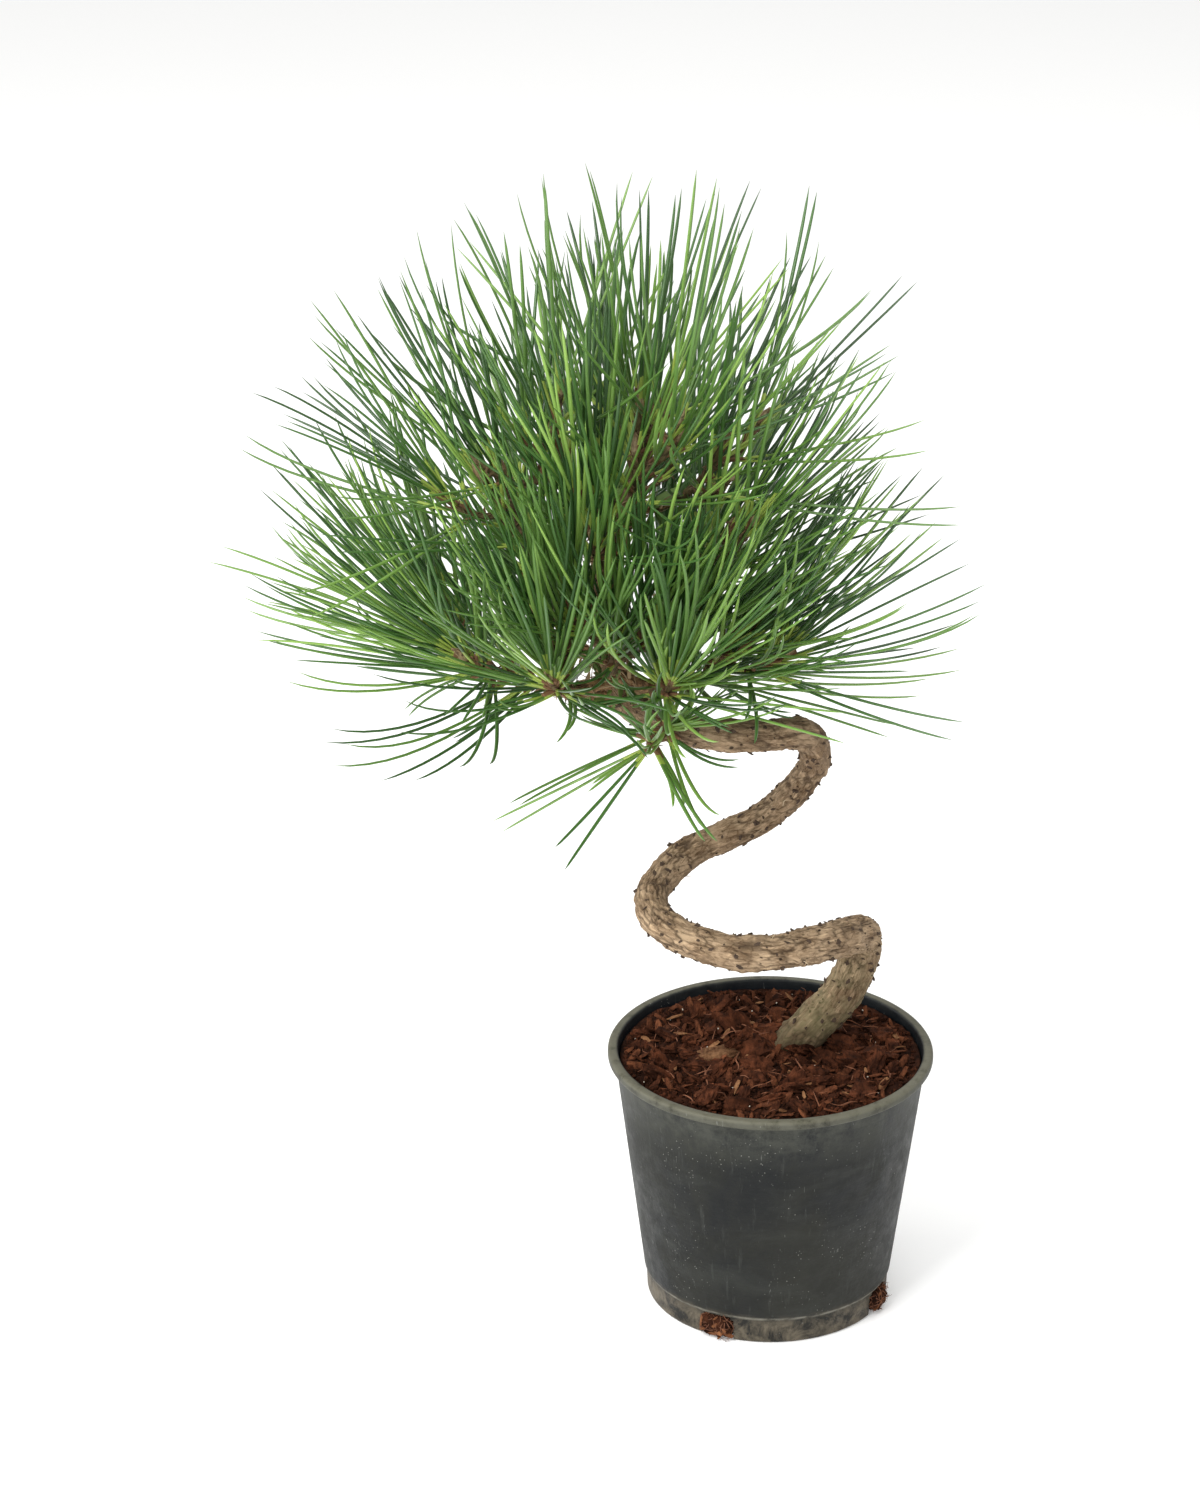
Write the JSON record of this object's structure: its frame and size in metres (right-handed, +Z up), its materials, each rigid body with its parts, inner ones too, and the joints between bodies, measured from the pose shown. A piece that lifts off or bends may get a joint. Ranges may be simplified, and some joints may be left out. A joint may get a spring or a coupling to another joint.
{
  "type": "potted japanese black pine",
  "caption": "Young Japanese black pine bonsai with a corkscrew trunk and a leaning needle crown, in a round black plastic nursery pot filled with peat.",
  "frame": {"origin": "centre of the pot's flat underside, where it stands", "axes": "+Z up along the pot's axis; seen from the front, looking along +Y, the crown leans left, towards -X"},
  "size_m": [0.27, 0.2331, 0.4408],
  "materials": {
    "pot_plastic": "charcoal moulded plastic, weathered and dusty",
    "peat": "dark brown fibrous peat with bark chips",
    "bark": "tan flaky bark with brown fissures",
    "bough_bark": "thin scaly brown bark",
    "needles": "fresh green pine needles"
  },
  "bodies": {
    "root": {"bough_low_back_left": "bough_bark", "bough_low_back_right": "bough_bark", "bough_low_front": "bough_bark", "bough_low_front_left": "bough_bark", "bough_low_front_right": "bough_bark", "bough_low_left": "bough_bark", "bough_low_right": "bough_bark", "bough_mid_back": "bough_bark", "bough_mid_front": "bough_bark", "bough_mid_left": "bough_bark", "bough_mid_right": "bough_bark", "bough_top_back": "bough_bark", "bough_top_front": "bough_bark", "bough_top_left": "bough_bark", "bough_top_right": "bough_bark", "needles_low_back_left": "needles", "needles_low_back_right": "needles", "needles_low_front": "needles", "needles_low_front_left": "needles", "needles_low_front_right": "needles", "needles_low_left": "needles", "needles_low_right": "needles", "needles_low_tuft": "needles", "needles_mid_back": "needles", "needles_mid_front": "needles", "needles_mid_left": "needles", "needles_mid_right": "needles", "needles_top_back": "needles", "needles_top_front": "needles", "needles_top_left": "needles", "needles_top_right": "needles", "needles_top_tip": "needles", "peat": "peat", "peat_plug_1": "peat", "peat_plug_2": "peat", "peat_plug_3": "peat", "peat_plug_4": "peat", "pot": "pot_plastic", "trunk_back_turn": "bark", "trunk_foot": "bark", "trunk_front_turn": "bark", "trunk_leader": "bark", "trunk_right_rise": "bark", "trunk_top_turn": "bark"}
  },
  "joints": []
}
